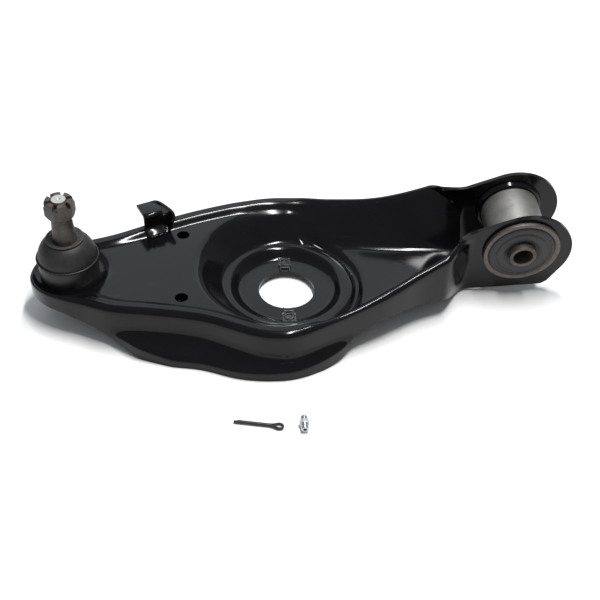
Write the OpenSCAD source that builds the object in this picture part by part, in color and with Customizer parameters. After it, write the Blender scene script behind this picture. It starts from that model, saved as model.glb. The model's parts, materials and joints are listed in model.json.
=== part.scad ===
// Stamped front suspension control arm with spring pocket, ball joint and pivot bushing.
// Origin: centre of the pivot bushing's bore. +X from ball joint to pivot, +Z is the spring seat's normal.

/* [Layout] */
// Distance in X from the pivot to the centre of the spring seat
seat_dx = 231; // [225:1:236]
// Distance in Y from the pivot to the centre of the spring seat
seat_dy = 27; // [25:0.5:29]
// Depth of the spring seat below the pivot
seat_dz = 54; // [52:0.5:56]
// Distance in X from the spring seat to the ball stud
stud_dx = 211.5; // [209:0.5:213]
// Tilt of the pivot bushing about X
bush_tilt = 7.5; // [5:0.5:9]

/* [Stamping] */
// Thickness of the pressed sheet
sheet = 4; // [3:0.25:4.5]
// Height of the deck above the spring seat
deck_z = 35; // [33:0.5:36]
// Height of the rolled rail above the spring seat
rail_z = 40; // [39:0.5:42]
// Width of the flat on top of the rail
rail_w = 10; // [8:0.5:11]
// Radius of the spring pocket at the deck
pocket_r = 88; // [86:0.5:90]
// Radius of the shock absorber hole
shock_hole_r = 28; // [24:0.5:30]
// Depth of the flared lip's edge below the spring seat
lip_z = 9; // [7:0.5:11]
// Radius of each strut hole
strut_hole_r = 6.35; // [5:0.05:7]
// Half the distance between the strut holes
strut_half = 48; // [44:0.5:50]
// Distance in X from the spring seat to the strut holes
strut_dx = 103; // [100:1:106]

/* [Pivot bushing] */
// Outer radius of the bushing's shell
shell_r = 29; // [28:0.25:30]
// Wall of the bushing's shell
shell_t = 2.5; // [2:0.25:3]
// Distance from the bushing's middle to each ear's outer face
ear_half = 33; // [32:0.5:34]
// Radius of the shell's front flange
flange_r = 38; // [36:0.5:39]
// Outer radius of the inner sleeve
sleeve_r = 13.3; // [12.8:0.1:13.8]
// Radius of the bolt's bore
bolt_r = 9.75; // [9:0.05:10]
// Half the length of the inner sleeve
sleeve_half = 44; // [42:0.5:46]

/* [Ball joint] */
// Outer radius of the ball joint's housing
housing_r = 28.5; // [28:0.25:29]
// Radius of the ball
ball_r = 15; // [14.5:0.25:15.5]
// Height of the ball's centre above the spring seat
ball_z = 36; // [35.5:0.25:36.5]
// Height of the stud's end above the spring seat
stud_top_z = 119; // [118:0.5:121]
// Radius of the stud's thread
thread_r = 7.9; // [7.5:0.1:8.2]
// Width of the castle nut across its flats
nut_flats = 25.4; // [24:0.1:27]
// Height of the castle nut
nut_h = 17; // [16:0.5:18]

/* [Hidden] */
$fn = 96;

black_paint = [0.03, 0.03, 0.035];
bare_steel = [0.62, 0.61, 0.58];
dark_phosphate = [0.22, 0.19, 0.17];
black_rubber = [0.06, 0.06, 0.06];
zinc = [0.75, 0.76, 0.78];

// Heights below are measured from the spring seat's upper face
stud_dy = -3;
floor_step_z = 9;
over = 300;
// Clearance between pieces that turn or slide on each other
running_gap = 0.05;
// Wall of the ball seats, and the grease fitting's thread radius and width across flats
seat_t = 3;
fitting_r = 3.17;
fitting_flats = 7.94;
// Height of the surface that the arm rests on
ground_z = -lip_z;
// Clip-on nuts: strip thickness, distance from thread to fold, thread radius, and thread to hole centre
clip_t = 1.2;
clip_reach = 16;
clip_thread_r = 3.4;
clip_half = 42;
// Underside of the castle nut, the turn of its slots, and the stud's radius at each end of the taper
nut_z = stud_top_z - 1 - nut_h;
nut_corner_r = nut_flats / 2 / cos(30);
slot_turn = 20;
taper_low_r = 11.9;
taper_top_r = 9.2;

// Rail line in plan, from the middle of the nose round the front to the front ear
front_line = [[-249, -8], [-245, -22], [-233, -36], [-215, -46], [-196, -53.5], [-168, -67],
    [-131, -73], [-100, -79], [-76, -86], [-40, -103], [-18, -108.5], [5, -107], [43, -90], [83, -72],
    [105, -60], [127, -47], [157, -35], [172, -28], [182, -16], [190, -8]];
// The same for the back rail, from the back ear to the nose
back_line = [[190, 62], [182, 70], [172, 82], [160, 88.5], [131, 89.5], [95, 91], [52, 98],
    [20, 105], [-12, 106.5], [-44, 101], [-69, 94], [-107, 80], [-166, 53], [-195, 44], [-218, 36],
    [-236, 26], [-246, 10]];
// Edge of the flared lip under the front skirt; the back lip mirrors it
lip_line = [[-163, -70], [-142, -87], [-108, -102], [-50, -115.5], [-26, -118], [-3, -117], [27, -108],
    [45, -95], [54, -80]];
// Top of the rails and ears against X, and lower edge of the skirts
rail_top = [[-260, rail_z], [10, rail_z], [43, 42.5], [83, 47], [105, 51], [127, 56.5], [145, 62.5],
    [160, 68], [175, 75], [189, 80]];
skirt_foot = [[189, 2], [157, 12], [107, 20], [79, 20], [54, 6], [45, -2], [-142, -2], [-160, 2],
    [-184, 8], [-215, 16], [-260, 21]];
flange_top = [for (p = rail_top) if (p[0] < 165) p];
lip_ledge_z = 12;
// Bracket: height above the deck, length of its foot, and the wing's clearance over the rail
bracket_h = 23;
bracket_foot = 8.5;
wing_z = rail_z - deck_z + 0.5;
// X at which the flat deck ends and the open channel takes over
deck_end = 20;
// Open channel between the rails: X, inner edges at the top, web edges, top height
channel = [[24, -88, -60, 62, 92, 42], [60, -74, -46, 57, 86, 45],
    [95, -56, -26, 51, 80, 50], [130, -37, -2, 47, 79, 58], [160, -24, 10, 45, 78, 70],
    [176, -9, 12, 44, 61, 80], [190, -1, 14, 44, 50, 90]];

// Catmull-Rom curve through open points p, steps pieces between each pair
function spline_point(a, b, c, d, u) = 0.5 * ((2 * b) + (c - a) * u + (2 * a - 5 * b + 4 * c - d) * u * u
    + (3 * b - a - 3 * c + d) * u * u * u);
function smooth(p, steps) = [for (i = [0 : len(p) - 2], s = [0 : steps - 1])
    spline_point(p[max(i - 1, 0)], p[i], p[i + 1], p[min(i + 2, len(p) - 1)], s / steps), p[len(p) - 1]];
// Points of open line p moved d to its left
function side(p, i, d) = let (t = p[min(i + 1, len(p) - 1)] - p[max(i - 1, 0)])
    p[i] + d * [-t[1], t[0]] / norm(t);
function beside(p, d) = [for (i = [0 : len(p) - 1]) side(p, i, d)];
function reversed(p) = [for (i = [len(p) - 1 : -1 : 0]) p[i]];

rail_line = smooth(concat(back_line, front_line), 3);
front_lip = smooth(lip_line, 3);

// Arc points about c with radius r from angle a0 to a1
function arc(c, r, a0, a1, n) = [for (i = [0 : n])
    let (a = a0 + (a1 - a0) * i / n) c + r * [cos(a), sin(a)]];
// Ear in its own plane: X, and height square to the bushing's axis
ear_outline = concat([[-58, -58.5], [31, -51], [36.5, -46.5]], arc([4, -5], 47.8, -28, 111, 24),
    [[-58, 20.5]]);

// Solid through closed sections, each a list of points, in order along X
module loft(sections) {
    n = len(sections[0]);
    last = (len(sections) - 1) * n;
    walls = [for (s = [0 : len(sections) - 2], i = [0 : n - 1]) let (j = (i + 1) % n, a = s * n)
        each [[a + i, a + j, a + n + j], [a + i, a + n + j, a + n + i]]];
    polyhedron(points = [for (s = sections, p = s) p],
        faces = concat(walls, [[for (i = [n - 1 : -1 : 0]) i]], [[for (i = [0 : n - 1]) last + i]]));
}
module along_y() rotate([90, 0, 0]) linear_extrude(height = 2 * over, center = true) children();
module at_seat() translate([-seat_dx, -seat_dy, -seat_dz]) children();
module at_stud(z = 0)
    translate([-seat_dx - stud_dx, stud_dy - seat_dy, z - seat_dz]) children();
module at_bush() rotate([bush_tilt, 0, 0]) children();
// Cylinder along the bushing's axis, from y0 to y1
module bar(r, y0, y1) translate([0, y0, 0]) rotate([-90, 0, 0]) cylinder(r = r, h = y1 - y0);
module tube(r, bore, y0, y1) difference() {
    bar(r, y0, y1);
    bar(bore, y0 - 1, y1 + 1);
}
module ring(r, bore, h) difference() {
    cylinder(r = r, h = h);
    translate([0, 0, -1]) cylinder(r = bore, h = h + 2);
}

module channel_void() loft([for (c = channel)
    [[c[0], c[1], c[5] + 40], [c[0], c[4], c[5] + 40], [c[0], c[4], c[5]],
    [c[0], c[3], floor_step_z], [c[0], c[2], floor_step_z], [c[0], c[1], c[5]]]]);
module channel_skin() loft([for (c = channel)
    [[c[0], c[1] - sheet, c[5] - 1], [c[0], c[4] + sheet, c[5] - 1],
    [c[0], c[3] + sheet, floor_step_z - sheet], [c[0], c[2] - sheet, floor_step_z - sheet]]]);
// Floor, step and wall of the spring pocket
module pocket() rotate_extrude(convexity = 4) polygon([[shock_hole_r, -sheet], [shock_hole_r, 0], [48, 0],
    [57, floor_step_z], [65, floor_step_z], [pocket_r, deck_z], [pocket_r + 11, deck_z],
    [pocket_r + 11, deck_z - sheet], [pocket_r + 2, deck_z - sheet], [69, floor_step_z - sheet],
    [55, floor_step_z - sheet], [46, -sheet]]);
// Strip of plan beside the rail line, w wide
module rail_strip(w) translate([0, 0, -over]) linear_extrude(height = 2 * over)
    polygon(concat(rail_line, reversed(beside(rail_line, w))));
// Outer skirt that follows the rail line
module skirt() intersection() {
    rail_strip(sheet);
    along_y() polygon(concat(rail_top, skirt_foot));
}
// Flat top of the rails, with the deck's full thickness beside the deck
module rail_flange() intersection() {
    rail_strip(rail_w);
    along_y() polygon(concat(flange_top, [for (p = reversed(flange_top))
        [p[0], p[0] < deck_end ? deck_z - sheet : p[1] - sheet]]));
}
module deck() translate([0, 0, deck_z - sheet]) linear_extrude(height = sheet) intersection() {
    polygon(beside(rail_line, sheet / 2));
    translate([-over, -over]) square([over + deck_end, 2 * over]);
}
// Flared front lip: a ledge out from the skirt and a short wall down to the lower edge
module half_lip() {
    translate([0, 0, -lip_z]) linear_extrude(height = lip_z + lip_ledge_z)
        polygon(concat(front_lip, reversed(beside(front_lip, sheet))));
    translate([0, 0, lip_ledge_z - sheet]) linear_extrude(height = sheet) difference() {
        polygon(concat(beside(front_lip, 1), [[40, -60], [-140, -50]]));
        polygon(beside(rail_line, sheet - 1));
    }
}
module lip() {
    half_lip();
    mirror([0, 1, 0]) half_lip();
}
module ear(y0) translate([0, y0 + sheet, 0]) rotate([90, 0, 0]) linear_extrude(height = sheet)
    polygon(ear_outline);

module arm_stamping() color(black_paint) difference() {
    union() {
        at_seat() difference() {
            union() {
                skirt();
                lip();
                difference() {
                    union() { rail_flange(); deck(); }
                    cylinder(r = pocket_r, h = over);
                    channel_void();
                }
                difference() { pocket(); channel_void(); }
                difference() {
                    channel_skin();
                    channel_void();
                    cylinder(r = 60, h = 2 * over, center = true);
                }
            }
            for (s = [-1, 1]) {
                translate([-strut_dx, s * strut_half, 0]) cylinder(r = strut_hole_r, h = over);
                translate([0, s * clip_half, -20]) cylinder(r = 5.6, h = 30);
            }
        }
        at_bush() {
            ear(-ear_half);
            ear(ear_half - sheet);
            bar(shell_r + 3.5, -ear_half + 1, -ear_half + 9);
            bar(shell_r + 3.5, ear_half - 9, ear_half - 1);
        }
        at_stud(deck_z - 9) cylinder(r = housing_r + 4.5, h = 9);
    }
    at_bush() bar(shell_r, -60, 60);
    at_stud(0) cylinder(r = housing_r, h = 60);
}
module strut_doubler() color(black_paint) at_seat() difference() {
    translate([-strut_dx - 19, -62, deck_z - 2 * sheet]) cube([30, 124, sheet]);
    for (s = [-1, 1]) translate([-strut_dx, s * strut_half, 0]) cylinder(r = strut_hole_r, h = 60);
}
module at_bracket() at_seat() translate([-132.9, 56.2, deck_z]) rotate([0, 0, 24]) children();
// Bent plate: foot, upright and top flange seen along the bend, with a slanted wing at its right
module bump_bracket() color(black_paint) at_bracket() {
    rotate([90, 0, 90]) linear_extrude(height = 20, center = true)
        polygon([[-bracket_foot, 0], [0, 0], [0, bracket_h - 3], [19, bracket_h - 3], [19, bracket_h],
        [-3, bracket_h], [-3, 3], [-bracket_foot, 3]]);
    translate([0, 0, wing_z]) linear_extrude(height = bracket_h - wing_z)
        polygon([[7, 16], [9, 19], [12, 19], [18.5, 4], [21.5, -6], [20.5, -12.5], [17.5, -12],
        [18.3, -6], [15.5, 3.5], [9.5, 16]]);
}
module bracket_welds() color(black_paint) at_bracket() translate([0, -bracket_foot, 0])
    rotate([90, 0, 90]) linear_extrude(height = 17, center = true) polygon([[-2.6, 0], [0, 0], [0, 2.4]]);
// Clip-on nut about its thread's axis: a folded strip over the shock hole's edge, which lies towards -Y
module clip_nut() color(dark_phosphate) difference() {
    union() {
        for (z = [0, -sheet - clip_t])
            translate([-6.5, -clip_reach, z]) cube([13, clip_reach + 5.5, clip_t]);
        translate([-6.5, -clip_reach, -sheet - clip_t]) cube([13, clip_t, sheet + 2 * clip_t]);
        translate([0, 0, -sheet - clip_t - 3.6]) cylinder(r = 5.2, h = 3.6);
    }
    translate([0, 0, -20]) cylinder(r = clip_thread_r, h = 40);
}
module front_clip_nut() at_seat() translate([0, -clip_half, 0]) mirror([0, 1, 0]) clip_nut();
module rear_clip_nut() at_seat() translate([0, clip_half, 0]) clip_nut();
module bushing_outer_shell() color(bare_steel) at_bush() difference() {
    union() {
        bar(shell_r, -ear_half - 2, ear_half + 1.5);
        bar(flange_r, -ear_half - 3, -ear_half);
        tube(flange_r, flange_r - 2.2, -ear_half - 4.5, -ear_half - 2);
    }
    bar(shell_r - shell_t, -60, 60);
}
module bushing_rubber() color(black_rubber) at_bush() difference() {
    union() {
        bar(shell_r - shell_t, -ear_half - 3, ear_half);
        bar(flange_r - 5, -ear_half - 5.5, -ear_half - 3);
    }
    bar(sleeve_r, -60, 60);
    tube(flange_r - 9, flange_r - 13, -ear_half - 8, -ear_half - 4.5);
}
module bushing_inner_sleeve() color(bare_steel) at_bush()
    tube(sleeve_r - running_gap, bolt_r, -sleeve_half, sleeve_half);

// Pressed-in housing with a ball socket above and the cover's recess below
module ball_joint_housing() color(dark_phosphate) at_stud() difference() {
    translate([0, 0, 16]) cylinder(r = housing_r, h = 35);
    translate([0, 0, 15]) cylinder(r = 21, h = ball_z - 15);
    translate([0, 0, ball_z]) sphere(r = ball_r + seat_t);
    translate([0, 0, ball_z]) cylinder(r1 = ball_r, r2 = ball_r + 6, h = 16);
}
module ball_joint_cover() color(dark_phosphate) at_stud(12) difference() {
    union() {
        cylinder(r = 20, h = 4);
        translate([0, 0, 4]) ring(21, 18, 1.5);
        translate([0, 0, -3]) cylinder(r = 7, h = 5);
    }
    translate([0, 0, -6]) cylinder(r = fitting_r, h = 20);
}
module seat_shell() difference() {
    translate([0, 0, ball_z]) sphere(r = ball_r + seat_t - 0.05);
    translate([0, 0, ball_z]) sphere(r = ball_r + running_gap);
}
module upper_ball_seat() color("dimgray") at_stud() difference() {
    seat_shell();
    translate([0, 0, ball_z + 8]) cylinder(r = 30, h = 30);
    translate([0, 0, ball_z - 30]) cylinder(r = 30, h = 30);
}
module lower_ball_seat() color("dimgray") at_stud() difference() {
    translate([0, 0, ball_z - ball_r - 3]) cylinder(r = 20, h = ball_r + 2);
    translate([0, 0, ball_z]) sphere(r = ball_r + running_gap);
    cylinder(r = 4, h = ball_z);
}
module preload_spring() color(bare_steel) at_stud(17.5) ring(18, 8, 0.5);

// Ball, neck, taper and threaded end, with the cotter hole across it
module ball_stud() color(dark_phosphate) at_stud() difference() {
    union() {
        translate([0, 0, ball_z]) sphere(r = ball_r);
        rotate_extrude() polygon([[0, ball_z + 8], [9, ball_z + 8], [9, ball_z + 22],
            [taper_low_r, ball_z + 28], [taper_low_r, ball_z + 32], [taper_top_r, nut_z],
            [thread_r, nut_z], [thread_r, stud_top_z - 1], [thread_r - 1, stud_top_z],
            [0, stud_top_z]]);
    }
    translate([0, 0, nut_z + nut_h - 2.5]) rotate([0, 90, slot_turn]) cylinder(r = 1.9, h = 40, center = true);
    translate([0, 0, ball_z - ball_r - 1]) cylinder(r = 6, h = 2);
}
// Bell of the boot, closed against the housing below and the seal ring above
module dust_boot() color(black_rubber) at_stud() rotate_extrude()
    polygon([[housing_r - 0.5, 51.2], [housing_r - 0.2, 54], [27.5, 58], [24.8, 65], [20.8, 70.5],
    [17.2, 72.9], [15.6, 71.6], [19, 69], [22.8, 64], [25.3, 57.5], [25.8, 51.2]]);
module boot_upper_ring() color(black_rubber) at_stud() rotate_extrude()
    polygon([[12, 69.5], [12, 72.2], [17.4, 75.4], [18, 75], [18, 73.6], [13.8, 70.6], [13.8, 69.5]]);
module boot_clamp_ring() color(bare_steel) at_stud(53) rotate_extrude()
    translate([housing_r + 0.7, 0]) circle(r = 0.7, $fn = 24);
module castle_nut() color(dark_phosphate) at_stud(nut_z) rotate([0, 0, slot_turn]) difference() {
    intersection() {
        cylinder(r = nut_corner_r, h = nut_h, $fn = 6);
        rotate_extrude() polygon([[0, 0], [nut_flats / 2 - 0.3, 0], [nut_corner_r + 0.1, 3],
            [nut_corner_r + 0.1, nut_h - 3], [nut_flats / 2 - 0.3, nut_h], [0, nut_h]]);
    }
    translate([0, 0, -1]) cylinder(r = thread_r + running_gap, h = nut_h + 2);
    for (a = [0, 60, 120]) rotate([0, 0, a]) translate([-20, -2.1, nut_h - 5]) cube([40, 4.2, 6]);
}

// Split pin lying on the ground, its head towards +X
module cotter_pin() color("black") at_seat() translate([-16.5, -175, ground_z + 1.8])
    rotate([0, 0, 169]) difference() {
    union() {
        rotate([0, 90, 0]) translate([0, 0, 3]) cylinder(r = 1.7, h = 38);
        translate([0, 0, -1.2]) cylinder(r = 4, h = 2.4);
    }
    translate([0, 0, -3]) cylinder(r = 2.1, h = 6);
    translate([0, -0.15, -3]) cube([60, 0.3, 6]);
}
// Turned body of the grease fitting along its axis, thread end at zero
module at_fitting() at_seat() translate([5.3, -182.5, ground_z + 4.6]) rotate([-90, 0, 0]) children();
module grease_fitting() color(zinc) at_fitting() difference() {
    union() {
        cylinder(r = fitting_r, h = 6.5);
        translate([0, 0, 6]) cylinder(r = fitting_flats / 2 / cos(30), h = 4.5, $fn = 6);
        rotate_extrude() polygon([[0, 10], [2.4, 10], [2.4, 12], [3.25, 13], [3.25, 14.4],
            [1.9, 16.5], [0, 16.5]]);
    }
    translate([0, 0, -1]) cylinder(r = 1.5, h = 15);
    translate([0, 0, 10]) cylinder(r = 0.9, h = 10);
}
module grease_check_ball() color(bare_steel) at_fitting() translate([0, 0, 12.6]) sphere(r = 1.3);
module grease_check_spring() color(bare_steel) at_fitting() translate([0, 0, 6.2]) ring(1.3, 0.9, 5);

arm_stamping();
strut_doubler();
bump_bracket();
bracket_welds();
front_clip_nut();
rear_clip_nut();
bushing_outer_shell();
bushing_rubber();
bushing_inner_sleeve();
ball_joint_housing();
ball_joint_cover();
upper_ball_seat();
lower_ball_seat();
preload_spring();
ball_stud();
dust_boot();
boot_upper_ring();
boot_clamp_ring();
castle_nut();
cotter_pin();
grease_fitting();
grease_check_ball();
grease_check_spring();
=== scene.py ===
"""Looks of a pressed steel control arm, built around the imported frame.

Shapes are worked out in millimetres from the centre of the spring seat and placed in the frame at the end.
"""

import json
import math

import bmesh
import bpy
import numpy as np
from mathutils import Matrix, Vector


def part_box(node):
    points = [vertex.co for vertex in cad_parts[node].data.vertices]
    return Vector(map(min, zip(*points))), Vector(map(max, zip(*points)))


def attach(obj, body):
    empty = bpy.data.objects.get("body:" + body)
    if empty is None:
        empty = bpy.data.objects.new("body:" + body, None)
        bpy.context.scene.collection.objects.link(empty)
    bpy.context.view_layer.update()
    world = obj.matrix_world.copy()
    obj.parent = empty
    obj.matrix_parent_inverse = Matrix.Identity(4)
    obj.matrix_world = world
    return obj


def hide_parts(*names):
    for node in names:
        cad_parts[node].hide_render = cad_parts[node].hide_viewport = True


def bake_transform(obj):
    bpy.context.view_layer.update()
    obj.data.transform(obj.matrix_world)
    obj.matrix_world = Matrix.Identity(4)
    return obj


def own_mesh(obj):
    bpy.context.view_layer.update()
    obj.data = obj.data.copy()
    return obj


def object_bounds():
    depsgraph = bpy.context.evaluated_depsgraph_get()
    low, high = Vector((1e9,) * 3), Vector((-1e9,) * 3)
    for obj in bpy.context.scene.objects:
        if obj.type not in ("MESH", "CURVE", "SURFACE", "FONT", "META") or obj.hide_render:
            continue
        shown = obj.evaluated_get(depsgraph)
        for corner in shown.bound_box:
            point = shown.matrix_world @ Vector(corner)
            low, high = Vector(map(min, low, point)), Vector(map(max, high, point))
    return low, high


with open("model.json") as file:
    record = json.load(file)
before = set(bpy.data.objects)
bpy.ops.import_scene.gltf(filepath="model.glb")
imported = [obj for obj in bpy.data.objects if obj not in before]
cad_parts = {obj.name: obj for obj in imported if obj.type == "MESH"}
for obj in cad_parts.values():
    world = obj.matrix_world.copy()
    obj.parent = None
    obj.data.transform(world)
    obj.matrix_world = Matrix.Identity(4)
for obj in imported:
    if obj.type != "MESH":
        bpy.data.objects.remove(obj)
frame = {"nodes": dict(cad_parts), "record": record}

cad_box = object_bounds()

# ---------------------------------------------------------------- frame
MM = 0.001
MOUNTS = {m["name"]: m for m in frame["record"]["mounts"]}
SEAT = np.array(MOUNTS["shock_bolts"]["pos_m"])
PIVOT = -SEAT / MM
STUD = (np.array(MOUNTS["stud_taper"]["pos_m"]) - SEAT)[:2] / MM
STRUTS = (np.array(MOUNTS["strut_holes"]["pos_m"]) - SEAT)[:2] / MM
STRUT_HALF = MOUNTS["strut_holes"]["dims"]["spacing_y_mm"] / 2
STRUT_R = MOUNTS["strut_holes"]["dims"]["hole_r_mm"]
SHOCK_R = MOUNTS["shock_hole"]["dims"]["r_mm"]
CLIP_HALF = MOUNTS["shock_bolts"]["dims"]["spacing_y_mm"] / 2
AXIS = np.array(MOUNTS["pivot_bore"]["axis"])
SQUARE = np.cross((1.0, 0.0, 0.0), AXIS)
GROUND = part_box("cotter_pin")[0].z

# ---------------------------------------------------------------- stamping's dimensions
SHEET = 4.0
DECK = 35.0
EAR_HALF = 33.0
BORE_R = 29.0
FLAT_INSET = 9.0
# Shoulder line in plan, from the nose round the front to the front ear, then back from the rear ear
FRONT_LINE = [(-249, -8), (-245, -22), (-233, -36), (-215, -46), (-196, -53.5), (-168, -66), (-131, -73),
    (-100, -79), (-76, -86), (-40, -103), (-18, -108.5), (5, -107), (43, -90), (83, -72), (105, -60),
    (127, -47.5), (152, -37)]
BACK_LINE = [(152, 89), (131, 89.5), (95, 91), (52, 98), (20, 105), (-12, 106.5), (-44, 101), (-69, 94),
    (-107, 80), (-166, 53), (-195, 44), (-218, 36), (-236, 26), (-246, 10)]
# End of the web between the ears, from front to back
WEB_END = [(163, -16), (172, -8), (180, 0), (185, 10), (186, 26), (185, 42), (180, 52), (172, 61), (163, 71)]
# Tables against X: knots, values, and the half width over which the corners are averaged
RAIL_TOP = [(-260, -215, -170, -140, 10, 43, 83, 105, 127, 145, 160, 175, 195),
    (36, 36.5, 39, 40, 40, 42.5, 47, 51, 56.5, 62.5, 68, 75, 83), 6]
ROLL_R = [(-260, -228, -190, 150), (3.5, 3.5, 6.5, 6.5), 8]
FOOT = [(-260, -215, -184, -163, -150, -138, 32, 42, 50, 57, 79, 107, 157, 180, 195),
    (21, 17, 8.5, 0, -6, -9, -9, -6, 2, 9, 18.5, 20, 13, 2, -1), 7]
LIP_OUT = [(-172, -160, -142, -108, -50, -26, -3, 27, 45, 58), (0, 5, 14, 20, 16, 11, 9, 9, 6, 0), 6]
LEDGE = [(-170, -108, -50, 0, 50), (12, 10, 9, 8.5, 12), 6]
LEDGE_RUN = [(-150, -110, -60, 0, 50), (13, 27, 25, 20, 13), 8]
# Channel between the rails against X: web edges, inner rail edges, web height
CHANNEL_X = (24, 60, 95, 130, 160, 176, 190)
CHANNEL_BLUR = 7
WEB_FRONT = (-60, -46, -26, -2, 10, 12, 14)
WEB_BACK = (62, 57, 51, 47, 45, 44, 44)
RAIL_FRONT = (-88, -74, -56, -37, -24, -9, -1)
RAIL_BACK = (92, 86, 80, 79, 78, 61, 50)
WEB_Z = [(24, 60, 76, 130, 190), (8.5, 6.5, 8.5, 9.5, 10), 5]
# Spring pocket against radius
POCKET = [(0, 48, 56.5, 64.5, 88, 140), (0, 0, 9, 9, 36, 96), 2.2]
POCKET_RIM = 89.0
POCKET_FLOOR = 48
# Deck: the rail's flat and its fall to the deck, from the shoulder inwards, and where the deck ends in X
RAIL_FLAT, RAIL_FALL = 11, 9
DECK_END, DECK_FADE = 30, 15
# Dish round the ball joint: its floor, its radius and the slope of its side
DISH_Z, DISH_R, DISH_SLOPE = 31, 32.5, 0.9
# Ear in its own plane, from the pivot: centre and radius of its round end, then its straight edges
EAR_C = (4.0, -5.0)
EAR_R = 47.8
EAR_TOP = [(-82, -58, -13.1), (10.5, 20.5, 39.6)]
EAR_LOW = [(-82, -58, 31, 36.5, 46.2), (-58, -57, -51, -46.5, -27.4)]
EAR_FLAT_FROM = -46
EAR_HOLE_R = BORE_R - 1.4
# Rows of the side wall's section, from the top down
FLAT_ROWS, ROLL_ROWS, WALL_ROWS, FLARE_ROWS, LIP_ROWS = 3, 8, 7, 18, 6
# Edges that turn by more degrees than this are drawn sharp
SHARP = 40


# ---------------------------------------------------------------- small tools
def eased(x, knots, values, blur):
    """Straight lines through the knots, averaged over a window of half width blur to round the corners."""
    return np.mean([np.interp(x + o, knots, values) for o in np.linspace(-blur, blur, 9)], axis=0)


def step(t):
    """Smooth step from 0 to 1: 3 t squared less 2 t cubed, held outside."""
    t = np.clip(t, 0, 1)
    return t * t * (3 - 2 * t)


def lower_of(a, b, blend):
    """The smaller of a and b, with a parabola of width blend where they cross."""
    h = np.clip(0.5 + 0.5 * (b - a) / blend, 0, 1)
    return b + (a - b) * h - blend * h * (1 - h)


def through(points, count, closed=False):
    """Catmull-Rom curve through the points, walked at even spacing: count points."""
    p = np.array(points, float)
    ends = (p[-1:], p[:2]) if closed else (2 * p[:1] - p[1:2], 2 * p[-1:] - p[-2:-1])
    q = np.concatenate([ends[0], p, ends[1]])
    t = np.linspace(0, 1, 24, endpoint=False)[None, :, None]
    a, b, c, d = (q[k : len(q) - 3 + k, None] for k in range(4))
    fine = 0.5 * (2 * b + (c - a) * t + (2 * a - 5 * b + 4 * c - d) * t**2 + (3 * b - a - 3 * c + d) * t**3)
    fine = np.concatenate([fine.reshape(-1, p.shape[1]), p[:1] if closed else p[-1:]])
    run = np.concatenate([[0], np.cumsum(np.linalg.norm(np.diff(fine, axis=0), axis=1))])
    s = np.linspace(0, run[-1], count, endpoint=not closed)
    return np.stack([np.interp(s, run, fine[:, k]) for k in range(p.shape[1])], -1)


def left_of(line):
    """Unit normals on the left of a plan line, from central differences."""
    t = np.roll(line, -1, 0) - np.roll(line, 1, 0)
    t[0], t[-1] = line[1] - line[0], line[-1] - line[-2]
    n = np.stack([-t[:, 1], t[:, 0]], -1)
    return n / np.linalg.norm(n, axis=1, keepdims=True)


def quads(rows, cols, wrap=False, flip=False):
    """Faces of a grid of rows by cols points; wrap joins the last column to the first."""
    r = np.arange(rows - 1)[:, None] * cols
    c = np.arange(cols if wrap else cols - 1)[None, :]
    n = (c + 1) % cols
    f = np.stack([r + c, r + n, r + cols + n, r + cols + c], -1).reshape(-1, 4)
    return f[:, ::-1] if flip else f


def placed(name, data):
    """A new object of this data, in the scene."""
    obj = bpy.data.objects.new(name, data)
    bpy.context.scene.collection.objects.link(obj)
    return obj


def shaded(mesh, sharp=SHARP):
    """Makes a mesh smooth, except along its sharp edges."""
    mesh.polygons.foreach_set("use_smooth", np.ones(len(mesh.polygons), bool))
    mesh.set_sharp_from_angle(angle=math.radians(sharp))
    return mesh


def mesh_piece(name, points, faces, sharp=SHARP, outward=False):
    """A mesh object from points in millimetres about the spring seat, its double points joined."""
    mesh = bpy.data.meshes.new(name)
    mesh.from_pydata((SEAT + np.asarray(points, float) * MM).tolist(), [], [list(f) for f in faces])
    bm = bmesh.new()
    bm.from_mesh(mesh)
    bmesh.ops.remove_doubles(bm, verts=bm.verts, dist=2e-6)
    if outward:
        bmesh.ops.recalc_face_normals(bm, faces=bm.faces)
    bm.to_mesh(mesh)
    bm.free()
    return placed(name, shaded(mesh, sharp))


def settle(obj):
    """Applies the modifiers of a piece and marks its sharp edges."""
    graph = bpy.context.evaluated_depsgraph_get()
    mesh = bpy.data.meshes.new_from_object(obj.evaluated_get(graph))
    obj.modifiers.clear()
    obj.data = shaded(mesh)
    return obj


def thicken(obj, wall):
    """Gives a sheet its wall behind the face, and applies it."""
    solid = obj.modifiers.new("wall", "SOLIDIFY")
    solid.thickness = wall * MM
    solid.offset = -1
    solid.use_even_offset = True
    return settle(obj)


def rounded(profile, radius):
    """Closed profile with each corner turned into a parabola that starts radius before it."""
    p = np.array(profile, float)
    before, after = np.roll(p, 1, 0) - p, np.roll(p, -1, 0) - p
    lb, la = (np.linalg.norm(v, axis=1, keepdims=True) for v in (before, after))
    start = p + before / lb * np.minimum(radius, 0.45 * lb)
    end = p + after / la * np.minimum(radius, 0.45 * la)
    steps = 4
    t = np.linspace(0, 1, steps + 1)[None, :, None]
    return ((1 - t) ** 2 * start[:, None] + 2 * t * (1 - t) * p[:, None] + t**2 * end[:, None]).reshape(-1, 2)


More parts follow.
